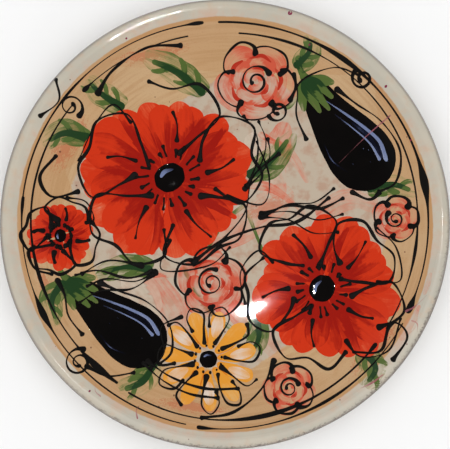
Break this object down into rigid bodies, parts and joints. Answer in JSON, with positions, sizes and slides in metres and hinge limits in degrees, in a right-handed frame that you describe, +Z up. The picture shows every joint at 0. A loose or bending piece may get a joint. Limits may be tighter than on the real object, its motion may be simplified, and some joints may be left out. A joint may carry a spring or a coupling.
{
  "type": "painted ceramic plate",
  "caption": "Wide round serving plate in glossy glazed ceramic, with a shallow dished well, a thick rounded lip, a foot ring and loose hand-painted brushwork with raised dark outlines.",
  "frame": {"origin": "centre of the foot ring, on the surface that the plate stands on", "axes": "+Z up along the turning axis, out of the painted side; +Y towards the top of the painted design; +X to its right"},
  "size_m": [0.32, 0.32, 0.036],
  "materials": {
    "glaze": "glossy cream and sand glaze with fine speckle, bare clay on the foot",
    "orange_red_paint": "glossy brushed glaze, darker where strokes overlap",
    "pink_paint": "thin glossy brushed glaze that lets the ground through",
    "green_paint": "thin streaky brushed glaze",
    "ochre_paint": "thin brushed glaze with a chalky white wash",
    "black_slip": "glossy trailed slip, slightly raised"
  },
  "bodies": {
    "root": {"plate": "glaze"}
  },
  "joints": []
}
